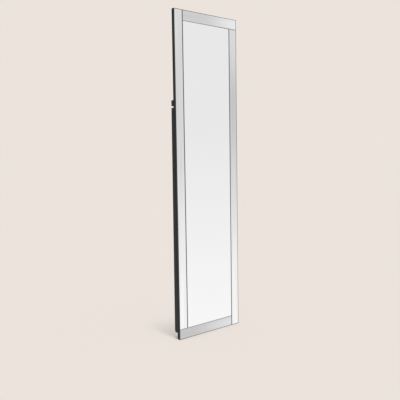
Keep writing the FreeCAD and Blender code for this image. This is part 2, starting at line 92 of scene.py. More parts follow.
SILVER_CLOUDS = 3.0
GLASS_WAVES = (9.0, 9.0, 2.5)
UPRIGHT_STREAKS = (150.0, 1.0, 3.0)
LEVEL_STREAKS = (3.0, 1.0, 150.0)
UPRIGHT_GRAIN = (700.0, 700.0, 14.0)
LEVEL_GRAIN = (14.0, 700.0, 700.0)
BEECH_GRAIN = (60.0, 1200.0, 1200.0)
DRAWN_LINES = (120.0, 2600.0, 2600.0)
RUB_PATCHES = 26.0
GLOSS_PATCHES = 18.0
ROLLER_STIPPLE = 700.0
RUBBER_STIPPLE = 1500.0
FELT_STIPPLE = 2600.0
FELT_FIBRES = 600.0
FOAM_CELLS = 1400.0
BANDS_PER_PORE = 0.12


# Levels of a pattern at which its effect starts and at which it is full

NOISE_RANGE = (0.3, 0.7)
PORE_RANGE = (0.38, 0.62)
RUB_RANGE = (0.5, 0.68)
BLOOM_RANGE = (0.45, 0.75)
TUFT_RANGE = (0.35, 0.65)
CELL_RANGE = (0.5, 0.35)
ZINC_RANGE = (0.1, 0.4)


# Tones, as shares of a colour

SILVER_TONES = (0.99, 1.0)
ZINC_TONES = (0.82, 1.0)
LINE_TONES = (-0.04, 0.04)
BAND_TONE = 1.5
TUFT_TONE = 2.2
# The foam's open pores are darkened by this share as painted shade
PAINTED_PORE_SHADE = 0.6
FLECK_TONE = 0.72
BLOOM_SHARE = 0.25


# Roughness at the two ends of a pattern, and what is added to a finish's own level or taken off it

RUBBER_ROUGHNESS = (0.7, 0.85)
FELT_ROUGHNESS = (0.88, 1.0)
FOAM_ROUGHNESS = (0.75, 0.95)
BEECH_ROUGHNESS = (0.55, 0.7)
RUB_ADDS = 0.2
ROLLER_SWING = 0.03
DULL_ADDS = 0.1
GLOSS_TAKES = 0.06


# How far a pane's normal points, at least: along -Y on its face and on its whole front

FACE_NORMAL = 0.98
FRONT_NORMAL = 0.8


# How far a level bevel's normal leans up or down, at least

LEVEL_LEAN = 0.15


# Felt discs: their waves, and the grid and the superellipse that they are sampled from

FELT_SEED = 7
FELT_WAVES = 24
FELT_WAVE_COUNTS = (9, 60)
FELT_STEPS = 44
FELT_AROUND = 160
FELT_RIM_POWER = 0.16


# Stage: lights in the strip, and the slopes of sight at which the wall has its low and its high level

STRIP_LIGHTS = 6
WALL_SLOPES = (-0.34, 0.05)


# The wall's soft light: where it is, and how far a line of sight points there where it starts and is full

SHEEN_TOWARDS = (0.5, 0.86, -0.05)
SHEEN_RANGE = (0.65, 0.97)


# Settings that a user would change

def colour(name, description, default):
    return bpy.props.FloatVectorProperty(
        name=name, description=description, subtype="COLOR", size=3, min=0, max=1, default=default)


def share(name, description, default):
    return bpy.props.FloatProperty(
        name=name, description=description, subtype="FACTOR", min=0, max=1, default=default)


def length(name, description, default):
    return bpy.props.FloatProperty(
        name=name, description=description, subtype="DISTANCE", unit="LENGTH", min=0, default=default)


def angle(name, description, degrees):
    return bpy.props.FloatProperty(
        name=name, description=description, subtype="ANGLE", unit="ROTATION",
        default=math.radians(degrees))


class GlassFinish(bpy.types.PropertyGroup):
    """Silvered panes with bevelled fronts and ground sides."""

    silver: colour("Silver", "Light that the centre pane's silver gives back", (0.959, 0.959, 0.96))
    strip_silver: colour("Strip silver", "The same for the border strips", (0.962, 0.951, 0.954))
    # Painted reflection: bevel shades by the way a bevel faces, and a dark band round the outline
    bevel: colour("Bevel", "Light that a pane's upright bevels give back", (0.235, 0.24, 0.24))
    level_bevel: colour("Level bevel", "The same for a pane's level bevels", (0.65, 0.65, 0.64))
    outline_bevel: colour("Outline bevel", "The same round the mirror's outline", (0.03, 0.03, 0.03))
    outline_width: length("Outline width", "Width of the dark line down each side of the mirror", 0.0034)
    edge: colour("Ground edge", "Colour of the sides of a pane", (0.012, 0.014, 0.014))
    streak: share("Streak", "Contrast of the streaks along the border strips", 0.07)
    face_roughness: share("Face roughness", "Roughness of the silvered face", 0.015)
    edge_roughness: share("Edge roughness", "Roughness of the ground edges", 0.22)
    ripple: length("Ripple", "Height of the waves in the glass", 0.00001)
    # Painted reflection: these tones darken the border strips by height and along them, in place of what
    # they would mirror
    low_tone: share("Low tone", "Share of light from an upright strip near the floor", 0.99)
    left_deep_tone: share("Deep tone, left", "Share of light from the left strip at its darkest", 0.83)
    right_deep_tone: share("Deep tone, right", "Share of light from the right strip at its darkest", 0.717)
    left_high_tone: share("High tone, left", "Share of light from the left strip at its top", 0.88)
    right_high_tone: share("High tone, right", "Share of light from the right strip at its top", 0.86)
    low_height: length("Low height", "Height up to which an upright strip has its low tone", 0.17)
    deep_height: length("Deep height", "Height at which an upright strip is darkest", 1.17)
    top_near_tone: share("Top strip, left", "Share of light from the top strip's left end", 0.765)
    top_far_tone: share("Top strip, right", "Share of light from the top strip's right end", 1.0)
    bottom_near_tone: share("Bottom strip, left", "Share of light from the bottom strip's left end", 0.6)
    bottom_far_tone: share("Bottom strip, right", "Share of light from the bottom strip's right end", 0.8)
    top_fade_start: share("Top strip fade", "Share of the top strip with its left end's tone", 0.33)
    bottom_fade_start: share("Bottom strip fade", "The same for the bottom strip", 0.16)


class PaintFinish(bpy.types.PropertyGroup):
    """Black satin paint on board and timber."""

    black: colour("Black", "Colour of the paint", (0.0066, 0.006, 0.0054))
    worn: colour("Worn", "Colour where an edge is rubbed", (0.05, 0.043, 0.036))
    wear_reach: length("Wear reach", "How far rubbing reaches from an edge", 0.0022)
    board_roughness: share("Board roughness", "Mean roughness of the board", 0.52)
    timber_roughness: share("Timber roughness", "Mean roughness of the timber", 0.4)
    board_shine: share("Board shine", "Specular level of the board", 0.18)
    timber_shine: share("Timber shine", "Specular level of the timber", 0.21)
    grain_depth: length("Grain depth", "Depth of the grain that shows through", 0.00012)
    peel_depth: length("Peel depth", "Depth of the roller texture on the board", 0.00005)


class HardwareFinish(bpy.types.PropertyGroup):
    """Zinc plated steel."""

    leaf: colour("Hinge leaf", "Colour of the hinge leaves", (0.5, 0.5, 0.48))
    pin: colour("Hinge pin", "Colour of the hinge pins", (0.66, 0.66, 0.66))
    screw: colour("Screw", "Colour of the screws", (0.23, 0.225, 0.217))
    leaf_roughness: share("Leaf roughness", "Mean roughness of the hinge leaves", 0.34)
    pin_roughness: share("Pin roughness", "Mean roughness of the hinge pins", 0.24)
    screw_roughness: share("Screw roughness", "Mean roughness of the screws", 0.3)
    cloud: length("Cloud size", "Size of the clouds in the plating", 0.004)
    line_depth: length("Line depth", "Depth of the drawn lines in the steel", 0.00002)


class TrimFinish(bpy.types.PropertyGroup):
    """Rubber, felt, foam and beech."""

    rubber: colour("Rubber", "Colour of the feet", (0.022, 0.021, 0.02))
    bloom: colour("Bloom", "Colour of the dust in the rubber", (0.09, 0.088, 0.085))
    felt: colour("Felt", "Colour of the bumpers", (0.045, 0.042, 0.04))
    foam: colour("Foam", "Colour of the mounting tape", (0.62, 0.62, 0.6))
    beech: colour("Beech", "Colour of the dowels", (0.52, 0.36, 0.21))
    rubber_shine: share("Rubber shine", "Specular level of the rubber", 0.3)
    felt_shine: share("Felt shine", "Specular level of the felt", 0.15)
    felt_sheen: share("Felt sheen", "Strength of the felt's soft sheen", 0.3)
    rubber_depth: length("Rubber depth", "Depth of the stipple in the rubber", 0.00015)
    felt_depth: length("Felt depth", "Depth of the fibres in the felt", 0.0004)
    foam_depth: length("Foam depth", "Depth of the open cells in the foam", 0.0002)
    beech_depth: length("Beech depth", "Depth of the grain in the beech", 0.00008)
    bumper_radius: length("Bumper radius", "Radius of one felt bumper", 0.01)
    nap: length("Nap", "Height of the felt's nap", 0.00028)


class StageSettings(bpy.types.PropertyGroup):
    """Floor, light and camera."""

    ground: colour("Ground", "Colour of the floor and the backdrop", (0.831, 0.768, 0.716))
    floor_span: length("Floor span", "Side of the floor", 90)
    floor_drop: length("Floor drop", "Gap that keeps the floor off the panel's foot", 0.0004)
    floor_glow: share("Floor glow", "Share of the floor's level that no shadow takes away", 0.4)
    wall_high: share("Wall, high", "Level of the wall that the panes mirror, above eye height", 0.846)
    wall_low: share("Wall, low", "Level of the wall that the panes mirror, towards the floor", 0.985)
    sheen: bpy.props.FloatProperty(
        name="Sheen", description="Level of the soft light behind, which only glossy surfaces mirror",
        min=0, default=2.2)
    ambient: share("Ambient", "Share of the light that comes from all round", 0.15)
    overhead: share("Overhead", "Share of the light that comes straight down", 0.322)
    overhead_width: angle("Overhead width", "Width of the overhead light as seen from the floor", 2)
    strip: share("Strip", "Share of the light that comes from the strip overhead in front", 0.527)
    strip_fade: share("Strip fade", "Level of each light of the strip over the one behind it", 0.9)
    strip_low: angle("Strip, low end", "Elevation of the strip's front end", 79.1)
    strip_high: angle("Strip, high end", "Elevation of the strip's back end", 88.2)
    strip_side: angle("Strip side", "Turn of the strip to the left of straight ahead", 1.5)
    strip_width: angle("Strip width", "Width of the strip as seen from the floor", 3.5)
    camera_place: bpy.props.FloatVectorProperty(
        name="Camera place", description="Place of the camera", subtype="TRANSLATION", unit="LENGTH",
        size=3, default=(-1.7251, -2.0524, 0.9147))
    camera_yaw: angle("Camera yaw", "Turn of the camera about the upright", -39.42)
    camera_pitch: angle("Camera pitch", "How far the camera looks down", 4.975)
    camera_roll: angle("Camera roll", "Roll of the camera about its own line of sight", -0.856)
    lens: bpy.props.FloatProperty(
        name="Lens", description="Focal length", subtype="DISTANCE_CAMERA", unit="CAMERA", default=47.4)


SETTINGS = {
    "mirror_glass": GlassFinish,
    "mirror_paint": PaintFinish,
    "mirror_hardware": HardwareFinish,
    "mirror_trim": TrimFinish,
    "mirror_stage": StageSettings,
}


# Node helpers

def feed(tree, socket, given):
    """Link a socket to another, or give it a value."""
    if isinstance(given, bpy.types.NodeSocket):
        tree.links.new(given, socket)
    else:
        socket.default_value = given


def add_node(tree, kind, inputs=None, **attributes):
    """A node with its attributes set and its inputs fed, each by its name or its number."""
    node = tree.nodes.new(kind)
    for name, setting in attributes.items():
        setattr(node, name, setting)
    for name, given in (inputs or {}).items():
        feed(tree, node.inputs[name], given)
    return node


def calculate(tree, operation, *values):
    return add_node(tree, "ShaderNodeMath", dict(enumerate(values)), operation=operation).outputs[0]


def calculate_vector(tree, operation, *values):
    node = add_node(tree, "ShaderNodeVectorMath", dict(enumerate(values)), operation=operation)
    return node.outputs["Vector"]


def axes(tree, vector):
    """The X, Y and Z of a vector."""
    return add_node(tree, "ShaderNodeSeparateXYZ", {"Vector": vector}).outputs


def mix(tree, factor, first, second, blend="MIX"):
    """The first colour where the factor is 0 and the second where it is 1.

    The node has sockets of the same names for other kinds of data, so the colours' own are numbered.
    """
    inputs = {0: factor, 6: first, 7: second}
    return add_node(tree, "ShaderNodeMix", inputs, data_type="RGBA", blend_type=blend).outputs[2]


def spread(tree, value, low, high, to_low, to_high, smooth=False):
    """A value carried from one range to another and held at its ends."""
    kind = "SMOOTHSTEP" if smooth else "LINEAR"
    node = add_node(tree, "ShaderNodeMapRange", {
        "Value": value, "From Min": low, "From Max": high, "To Min": to_low, "To Max": to_high,
    }, interpolation_type=kind)
    return node.outputs["Result"]


def vary(tree, pattern, low, high):
    """A noise pattern carried from its usual range to another."""
    return spread(tree, pattern, *NOISE_RANGE, low, high)


def mask(tree, pattern, levels):
    """0 where a pattern is at the first level and 1 where it is at the second."""
    return spread(tree, pattern, *levels, 0.0, 1.0)


def noise(tree, vector, scale=1.0, detail=3.0, distortion=0.0):
    return add_node(tree, "ShaderNodeTexNoise", {
        "Vector": vector, "Scale": scale, "Detail": detail, "Distortion": distortion,
    }).outputs["Fac"]


def object_place(tree):
    return add_node(tree, "ShaderNodeTexCoord").outputs["Object"]


def stretched_place(tree, stretch):
    return calculate_vector(tree, "MULTIPLY", object_place(tree), stretch)


def opaque(rgb):
    return (*rgb, 1.0)


def toned(rgb, tone):
    """A colour made darker or paler, and held under white."""
    return opaque([min(1.0, tone * part) for part in rgb])


# Shared effects

VALUE, VECTOR = "NodeSocketFloat", "NodeSocketVector"


def shared_effect(name, inputs, outputs, build):
    """A node group that is built once and found again by its name afterwards."""
    group = bpy.data.node_groups.get(name)
    if group:
        return group
    group = bpy.data.node_groups.new(name, "ShaderNodeTree")
    for label, kind in inputs.items():
        group.interface.new_socket(label, in_out="INPUT", socket_type=kind)
    for label in outputs:
        group.interface.new_socket(label, in_out="OUTPUT", socket_type=VALUE)
    given = group.nodes.new("NodeGroupInput").outputs
    result = group.nodes.new("NodeGroupOutput").inputs
    for label, socket in build(group, given).items():
        group.links.new(socket, result[label])
    return group


def use_effect(tree, group, inputs):
    return add_node(tree, "ShaderNodeGroup", inputs, node_tree=group).outputs


def box_inputs(low, high):
    """What an effect is told about a box, from its two corners."""
    return {"Centre": (low + high) / 2, "Half Size": (high - low) / 2}


def box_inset(tree, given):
    """How far in from the sides of the given box a point is, along X, Y and Z."""
    offset = calculate_vector(tree, "SUBTRACT", object_place(tree), given["Centre"])
    reach = calculate_vector(tree, "ABSOLUTE", offset)
    return axes(tree, calculate_vector(tree, "SUBTRACT", given["Half Size"], reach))


def pane_front():
    """Where a pane is silvered: its flat face, whose normal points along -Y, and the bevel round it.

    A level bevel's normal leans up or down. The outline is a frame of the given width just inside
    the given box, seen from the front. Down its two sides the silver stops where the frame starts.
    """

    def build(tree, given):
        _, back, up = axes(tree, add_node(tree, "ShaderNodeTexCoord").outputs["Normal"])
        to_side, _, to_end = box_inset(tree, given)
        to_outline = calculate(tree, "MINIMUM", to_side, to_end)
        flat = calculate(tree, "LESS_THAN", back, -FACE_NORMAL)
        inside = calculate(tree, "GREATER_THAN", to_side, given["Width"])
        lean = calculate(tree, "ABSOLUTE", up)
        return {
            "Face": calculate(tree, "MULTIPLY", flat, inside),
            "Front": calculate(tree, "LESS_THAN", back, -FRONT_NORMAL),
            "Level": calculate(tree, "GREATER_THAN", lean, LEVEL_LEAN),
            "Outline": calculate(tree, "LESS_THAN", to_outline, given["Width"]),
        }

    inputs = {"Centre": VECTOR, "Half Size": VECTOR, "Width": VALUE}
    return shared_effect("Pane front", inputs, ("Face", "Front", "Level", "Outline"), build)


def silver_drift():
    """Slow clouds in the silver, and the long ripple of drawn glass."""

    def build(tree, given):
        cloud = noise(tree, object_place(tree), given["Cloud Scale"], detail=2.0)
        return {
            "Tone": vary(tree, cloud, *SILVER_TONES),
            "Ripple": noise(tree, stretched_place(tree, GLASS_WAVES), detail=1.0),
        }

    return shared_effect("Silver drift", {"Cloud Scale": VALUE}, ("Tone", "Ripple"), build)


def strip_streaks():
    """Long streaks in the silver of a border strip, stretched along it by the given scale."""

    def build(tree, given):
        streak = noise(tree, stretched_place(tree, given["Stretch"]))
        low = calculate(tree, "SUBTRACT", 1.0, given["Contrast"])
        high = calculate(tree, "ADD", 1.0, given["Contrast"])
        return {"Tone": vary(tree, streak, low, high)}

    return shared_effect("Strip streaks", {"Stretch": VECTOR, "Contrast": VALUE}, ("Tone",), build)


def edge_rub():
    """Rubbed edges of a box-shaped piece.

    The distance to the nearest edge is the middle one of the three distances to the box's sides.
    """

    def build(tree, given):
        x, y, z = box_inset(tree, given)
        lower = calculate(tree, "MINIMUM", x, y)
        upper = calculate(tree, "MAXIMUM", x, y)
        to_edge = calculate(tree, "MAXIMUM", lower, calculate(tree, "MINIMUM", upper, z))
        close = spread(tree, to_edge, 0.0, given["Reach"], 1.0, 0.0, smooth=True)
        patches = noise(tree, object_place(tree), RUB_PATCHES, detail=6.0)
        return {"Rub": calculate(tree, "MULTIPLY", close, mask(tree, patches, RUB_RANGE))}

    inputs = {"Centre": VECTOR, "Half Size": VECTOR, "Reach": VALUE}
    return shared_effect("Edge rub", inputs, ("Rub",), build)


def timber_grain():
    """Long pores and growth bands, stretched along the piece by the given scale."""

    def build(tree, given):
        along = stretched_place(tree, given["Stretch"])
        pores = noise(tree, along, detail=5.0, distortion=0.3)
        return {
            "Pores": mask(tree, pores, PORE_RANGE),
            "Bands": noise(tree, along, BANDS_PER_PORE, detail=2.0),
        }

    return shared_effect("Timber grain", {"Stretch": VECTOR}, ("Pores", "Bands"), build)


def fine_stipple():
    """Small bumps and a slow drift of gloss, for rolled paint, rubber and felt."""

    def build(tree, given):
        where = object_place(tree)
        return {
            "Bumps": noise(tree, where, given["Scale"], detail=4.0),
            "Drift": noise(tree, where, GLOSS_PATCHES),
        }

    return shared_effect("Fine stipple", {"Scale": VALUE}, ("Bumps", "Drift"), build)


def zinc_cloud():
    """Soft clouds and fine drawn lines in zinc plating."""

    def build(tree, given):
        cloud = noise(tree, object_place(tree), given["Scale"], distortion=0.6)
        drawn = noise(tree, stretched_place(tree, DRAWN_LINES), detail=2.0)
        cloud_tone = vary(tree, cloud, *ZINC_TONES)
        return {
            "Tone": calculate(tree, "ADD", cloud_tone, vary(tree, drawn, *LINE_TONES)),
            "Gloss": calculate(tree, "MULTIPLY", cloud, drawn),
            "Lines": drawn,
        }

    return shared_effect("Zinc cloud", {"Scale": VALUE}, ("Tone", "Gloss", "Lines"), build)


# Finishes

def new_finish(name):
    """A material with one bare shader."""
    material = bpy.data.materials.new(name)
    material.use_nodes = True
    tree = material.node_tree
    tree.nodes.clear()
    shader = add_node(tree, "ShaderNodeBsdfPrincipled")
    add_node(tree, "ShaderNodeOutputMaterial", {"Surface": shader.outputs["BSDF"]})
    return material, tree, shader.inputs


def raise_bumps(tree, surface, height, distance):
    bump = add_node(tree, "ShaderNodeBump", {"Height": height, "Distance": distance})
    feed(tree, surface["Normal"], bump.outputs["Normal"])


def dress(node, material):
    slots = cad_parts[node].data.materials
    slots.clear()
    slots.append(material)


def silvered_glass(name, painted_reflection_tone=None):
    """Silver on the front of a pane, darker on its bevel, and dark ground glass on its sides. The bevel's
    shades, set by the way it faces and darkest round the outline, and a border strip's tones are painted
    reflection.
    """
    finish = bpy.context.scene.mirror_glass
    material, tree, surface = new_finish(name)
    pane = use_effect(tree, pane_front(), {**box_inputs(*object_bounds()), "Width": finish.outline_width})
    drift = use_effect(tree, silver_drift(), {"Cloud Scale": SILVER_CLOUDS})
    tint = finish.strip_silver if painted_reflection_tone else finish.silver
    silver = mix(tree, 1.0, opaque(tint), drift["Tone"], "MULTIPLY")
    # Painted reflection: a border strip's silver is darkened by its place on the strip
    if painted_reflection_tone:
        silver = mix(tree, 1.0, silver, painted_reflection_tone(tree, finish), "MULTIPLY")
    # Painted reflection: upright and level bevels get different shades, and the outline band is dark
    bevel = mix(tree, pane["Level"], opaque(finish.bevel), opaque(finish.level_bevel))
    bevel = mix(tree, pane["Outline"], bevel, opaque(finish.outline_bevel))
    front = mix(tree, pane["Face"], bevel, silver)
    roughness = spread(tree, pane["Front"], 0.0, 1.0, finish.edge_roughness, finish.face_roughness)
    feed(tree, surface["Base Color"], mix(tree, pane["Front"], opaque(finish.edge), front))
    feed(tree, surface["Metallic"], pane["Front"])
    feed(tree, surface["Roughness"], roughness)
    raise_bumps(tree, surface, drift["Ripple"], finish.ripple)
    return material


def streaked(tree, finish, tone, stretch):
    streaks = use_effect(tree, strip_streaks(), {"Stretch": stretch, "Contrast": finish.streak})
    return calculate(tree, "MULTIPLY", tone, streaks["Tone"])


def upright_painted_reflection(node):
    """Painted reflection: bright near the floor, darkest at the given height, and a little lighter again
    at the top, in place of what an upright strip would mirror.
    """
    side = node.split("_")[0]
    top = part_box(node)[1].z

    def build(tree, finish):
        height = axes(tree, object_place(tree))["Z"]
        low, deep = finish.low_height, finish.deep_height
        deep_tone, high_tone = (getattr(finish, f"{side}_{part}_tone") for part in ("deep", "high"))
        fall = spread(tree, height, low, deep, finish.low_tone, deep_tone, smooth=True)
        lift = spread(tree, height, deep, top, 0.0, high_tone - deep_tone, smooth=True)
        return streaked(tree, finish, calculate(tree, "ADD", fall, lift), UPRIGHT_STREAKS)

    return build


def level_painted_reflection(node):
    """Painted reflection: a tone that changes from the left end of a level strip to its right end, in
    place of what the strip would mirror.
    """
    end = node.split("_")[0]
    left, right = (corner.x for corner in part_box(node))

    def build(tree, finish):
        across = axes(tree, object_place(tree))["X"]
        near_tone, far_tone = (getattr(finish, f"{end}_{part}_tone") for part in ("near", "far"))
        start = left + (right - left) * getattr(finish, f"{end}_fade_start")
        tone = spread(tree, across, start, right, near_tone, far_tone, smooth=True)
        return streaked(tree, finish, tone, LEVEL_STREAKS)

    return build


def paint_over(tree, surface, node, shade, gloss):
    """Paint of a given colour and roughness, paler and rougher where the node's edges are rubbed."""
    finish = bpy.context.scene.mirror_paint
    rub = use_effect(tree, edge_rub(), {**box_inputs(*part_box(node)), "Reach": finish.wear_reach})["Rub"]
    rougher = calculate(tree, "MULTIPLY", rub, RUB_ADDS)
    feed(tree, surface["Base Color"], mix(tree, rub, shade, opaque(finish.worn)))
    feed(tree, surface["Roughness"], calculate(tree, "ADD", gloss, rougher))


def painted_board():
    """Rolled black paint, rubbed a little along the board's edges."""
    finish = bpy.context.scene.mirror_paint
    material, tree, surface = new_finish("black_board")
    stipple = use_effect(tree, fine_stipple(), {"Scale": ROLLER_STIPPLE})
    level = finish.board_roughness
    gloss = vary(tree, stipple["Drift"], level - ROLLER_SWING, level + ROLLER_SWING)
    paint_over(tree, surface, "backing_board", opaque(finish.black), gloss)
    surface["Specular IOR Level"].default_value = finish.board_shine
    raise_bumps(tree, surface, stipple["Bumps"], finish.peel_depth)
    return material


def painted_timber(node, stretch):
    """Black satin paint through which the grain shows, rubbed along the piece's own edges."""
    finish = bpy.context.scene.mirror_paint
    material, tree, surface = new_finish(f"black_timber_{node}")
    grain = use_effect(tree, timber_grain(), {"Stretch": stretch})
    shade = mix(tree, grain["Bands"], opaque(finish.black), toned(finish.black, BAND_TONE))
    level = finish.timber_roughness
    gloss = spread(tree, grain["Pores"], 0.0, 1.0, level + DULL_ADDS, level - GLOSS_TAKES)
    paint_over(tree, surface, node, shade, gloss)
    surface["Specular IOR Level"].default_value = finish.timber_shine
    raise_bumps(tree, surface, grain["Pores"], finish.grain_depth)
    return material


def plated_steel(name, rgb, roughness):
    """Zinc plated steel with clouds, drawn lines and uneven gloss."""
    finish = bpy.context.scene.mirror_hardware
    material, tree, surface = new_finish(name)
    zinc = use_effect(tree, zinc_cloud(), {"Scale": 1 / finish.cloud})
    gloss = spread(tree, zinc["Gloss"], *ZINC_RANGE, roughness + DULL_ADDS, roughness - GLOSS_TAKES)
    feed(tree, surface["Base Color"], mix(tree, 1.0, opaque(rgb), zinc["Tone"], "MULTIPLY"))
    feed(tree, surface["Roughness"], gloss)
    surface["Metallic"].default_value = 1.0
    raise_bumps(tree, surface, zinc["Lines"], finish.line_depth)
    return material


def moulded_rubber():
    """Matt rubber with a fine stipple and a bloom of paler dust in it."""
    finish = bpy.context.scene.mirror_trim
    material, tree, surface = new_finish("foot_rubber")
    stipple = use_effect(tree, fine_stipple(), {"Scale": RUBBER_STIPPLE})
    bloom = spread(tree, stipple["Drift"], *BLOOM_RANGE, 0.0, BLOOM_SHARE)
    feed(tree, surface["Base Color"], mix(tree, bloom, opaque(finish.rubber), opaque(finish.bloom)))
    feed(tree, surface["Roughness"], vary(tree, stipple["Bumps"], *RUBBER_ROUGHNESS))
    surface["Specular IOR Level"].default_value = finish.rubber_shine
    raise_bumps(tree, surface, stipple["Bumps"], finish.rubber_depth)
    return material


def pressed_felt():
    """Matted fibres in two lengths, with a faint sheen."""
    finish = bpy.context.scene.mirror_trim
    material, tree, surface = new_finish("bumper_felt")
    stipple = use_effect(tree, fine_stipple(), {"Scale": FELT_STIPPLE})
    fibres = noise(tree, object_place(tree), FELT_FIBRES, detail=6.0, distortion=1.5)
    tuft = mask(tree, fibres, TUFT_RANGE)
    feed(tree, surface["Base Color"], mix(tree, tuft, opaque(finish.felt), toned(finish.felt, TUFT_TONE)))
    feed(tree, surface["Roughness"], vary(tree, stipple["Bumps"], *FELT_ROUGHNESS))
    surface["Sheen Weight"].default_value = finish.felt_sheen
    surface["Specular IOR Level"].default_value = finish.felt_shine
    raise_bumps(tree, surface, fibres, finish.felt_depth)
    return material


def foam_tape():
    """Closed-cell foam with open pores on its cut sides, darkened in the pores as painted shade."""
    finish = bpy.context.scene.mirror_trim
    material, tree, surface = new_finish("foam_tape")
    cells = noise(tree, object_place(tree), FOAM_CELLS, detail=4.0)
    pores = mask(tree, cells, CELL_RANGE)
    # Painted shade: the open pores are darker, as if in shadow
    feed(tree, surface["Base Color"], mix(tree, pores, opaque(finish.foam), toned(finish.foam, PAINTED_PORE_SHADE)))
    feed(tree, surface["Roughness"], vary(tree, cells, *FOAM_ROUGHNESS))
    raise_bumps(tree, surface, cells, finish.foam_depth)
    return material


def turned_beech():
    """Bare beech with its flecks along the dowel."""
    finish = bpy.context.scene.mirror_trim
    material, tree, surface = new_finish("dowel_beech")
    grain = use_effect(tree, timber_grain(), {"Stretch": BEECH_GRAIN})
    fleck = toned(finish.beech, FLECK_TONE)
    feed(tree, surface["Base Color"], mix(tree, grain["Pores"], fleck, opaque(finish.beech)))
    feed(tree, surface["Roughness"], vary(tree, grain["Bands"], *BEECH_ROUGHNESS))
    raise_bumps(tree, surface, grain["Pores"], finish.beech_depth)
    return material


# Shapes

def felt_discs(low, high, radius, nap):
    """The vertices and faces of four felt discs that fill the corners of a box.

    A disc is a profile turned about Y: two flat faces joined by a superellipse rim, sampled by angle on
    a grid. Waves of many lengths, with seeded phases, pull the nap in from that form.
    """
    thickness = high[1] - low[1]
    turn = np.linspace(0, 2 * np.pi, FELT_AROUND, endpoint=False)
    sweep = np.linspace(0, np.pi, FELT_STEPS + 2)[1:-1]
    reach = radius * np.sin(sweep) ** FELT_RIM_POWER
    depth = thickness / 2 * np.sign(np.cos(sweep)) * np.abs(np.cos(sweep)) ** FELT_RIM_POWER
    random = np.random.default_rng(FELT_SEED)
    vertices, faces = [], []
    for centre_x in (low[0] + radius, high[0] - radius):
        for centre_z in (low[2] + radius, high[2] - radius):
            phases = random.uniform(0, 2 * np.pi, (2, FELT_WAVES, 1))
            counts = random.integers(*FELT_WAVE_COUNTS, (2, FELT_WAVES, 1))
            round_rim = np.sin(counts[0] * turn + phases[0])
            over_rim = np.sin(counts[1] * sweep + phases[1])
            pulls = 1 + 2 * (over_rim.T @ round_rim / FELT_WAVES)
            inward = 1 - nap / radius * pulls
            ring = np.stack([
                reach[:, None] * np.cos(turn) * inward,
                np.broadcast_to(depth[:, None], inward.shape) * (1 - nap / thickness * pulls),
                reach[:, None] * np.sin(turn) * inward,
            ], axis=-1).reshape(-1, 3)
            ends = np.array([[0, thickness / 2 - nap, 0], [0, nap - thickness / 2, 0]])
            middle = np.array([centre_x, (low[1] + high[1]) / 2, centre_z])
            first = sum(len(part) for part in vertices)
            vertices.append(np.concatenate([ring, ends]) + middle)
            faces += turned_faces(first, FELT_STEPS, FELT_AROUND)
    return np.concatenate(vertices), faces


def turned_faces(first, steps, around):
    """Quads between neighbouring rings, and a fan to the closing point at each end."""
    index = first + np.arange(steps * around).reshape(steps, around)
    after = np.roll(index, -1, axis=1)
    quads = np.stack([index[:-1], after[:-1], after[1:], index[1:]], axis=-1).reshape(-1, 4)
    start, end = first + steps * around, first + steps * around + 1
    start_fan = np.stack([np.full(around, start), after[0], index[0]], axis=-1)
    end_fan = np.stack([np.full(around, end), index[-1], after[-1]], axis=-1)
    return quads.tolist() + start_fan.tolist() + end_fan.tolist()


def new_object(name, vertices, faces, material):
    mesh = bpy.data.meshes.new(name)
    mesh.from_pydata(np.asarray(vertices).tolist(), [], faces)
    mesh.update()
    mesh.materials.append(material)
    made = bpy.data.objects.new(name, mesh)
    bpy.context.scene.collection.objects.link(made)
    return made


# Stage

def lay_floor(stage):
    """A pale floor that keeps the shadow and that the panes don't mirror.

    To the camera, a share of its level is its own, so the shadow stays as light as in a pale studio.
    """
    material, tree, surface = new_finish("floor")
    seen = add_node(tree, "ShaderNodeLightPath").outputs["Is Camera Ray"]
    shaded = toned(stage.ground, 1 - stage.floor_glow)
    feed(tree, surface["Base Color"], mix(tree, seen, opaque(stage.ground), shaded))
    surface["Emission Color"].default_value = opaque(stage.ground)
    feed(tree, surface["Emission Strength"], calculate(tree, "MULTIPLY", seen, stage.floor_glow))
    surface["Roughness"].default_value = 1.0
    surface["Specular IOR Level"].default_value = 0.0
    half, level = stage.floor_span / 2, -stage.floor_drop
    corners = [(-half, -half, level), (half, -half, level), (half, half, level), (-half, half, level)]
    floor = new_object("floor", corners, [(0, 1, 2, 3)], material)
    floor.visible_glossy = False
    floor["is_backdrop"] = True


def hang_backdrop(stage):
    """The world: the backdrop to the camera, a pale wall in the panes, and even light on all else.

    The wall has a soft round light on it behind the mirror, which brings out the black paint there.
    """
    world = bpy.data.worlds.new("studio")
    bpy.context.scene.world = world
    world.use_nodes = True
    tree = world.node_tree
    tree.nodes.clear()
    path = add_node(tree, "ShaderNodeLightPath").outputs
    direction = add_node(tree, "ShaderNodeTexCoord").outputs["Generated"]
    wall = spread(tree, axes(tree, direction)["Z"], *WALL_SLOPES, stage.wall_low, stage.wall_high)
    facing = add_node(
        tree, "ShaderNodeVectorMath", {0: direction, 1: SHEEN_TOWARDS}, operation="DOT_PRODUCT")
    behind = spread(tree, facing.outputs["Value"], *SHEEN_RANGE, 0.0, stage.sheen, smooth=True)
    wall = calculate(tree, "ADD", wall, behind)
    before_diffuse = calculate(tree, "LESS_THAN", path["Diffuse Depth"], 1.0)
    mirrored = calculate(tree, "MULTIPLY", path["Is Glossy Ray"], before_diffuse)
    ambient = opaque([stage.ambient] * 3)
    seen = calculate(tree, "MAXIMUM", path["Is Camera Ray"], path["Is Transmission Ray"])
    light = mix(tree, seen, mix(tree, mirrored, ambient, wall), opaque(stage.ground))
    background = add_node(tree, "ShaderNodeBackground", {"Color": light, "Strength": 1.0})
    add_node(tree, "ShaderNodeOutputWorld", {"Surface": background.outputs["Background"]})


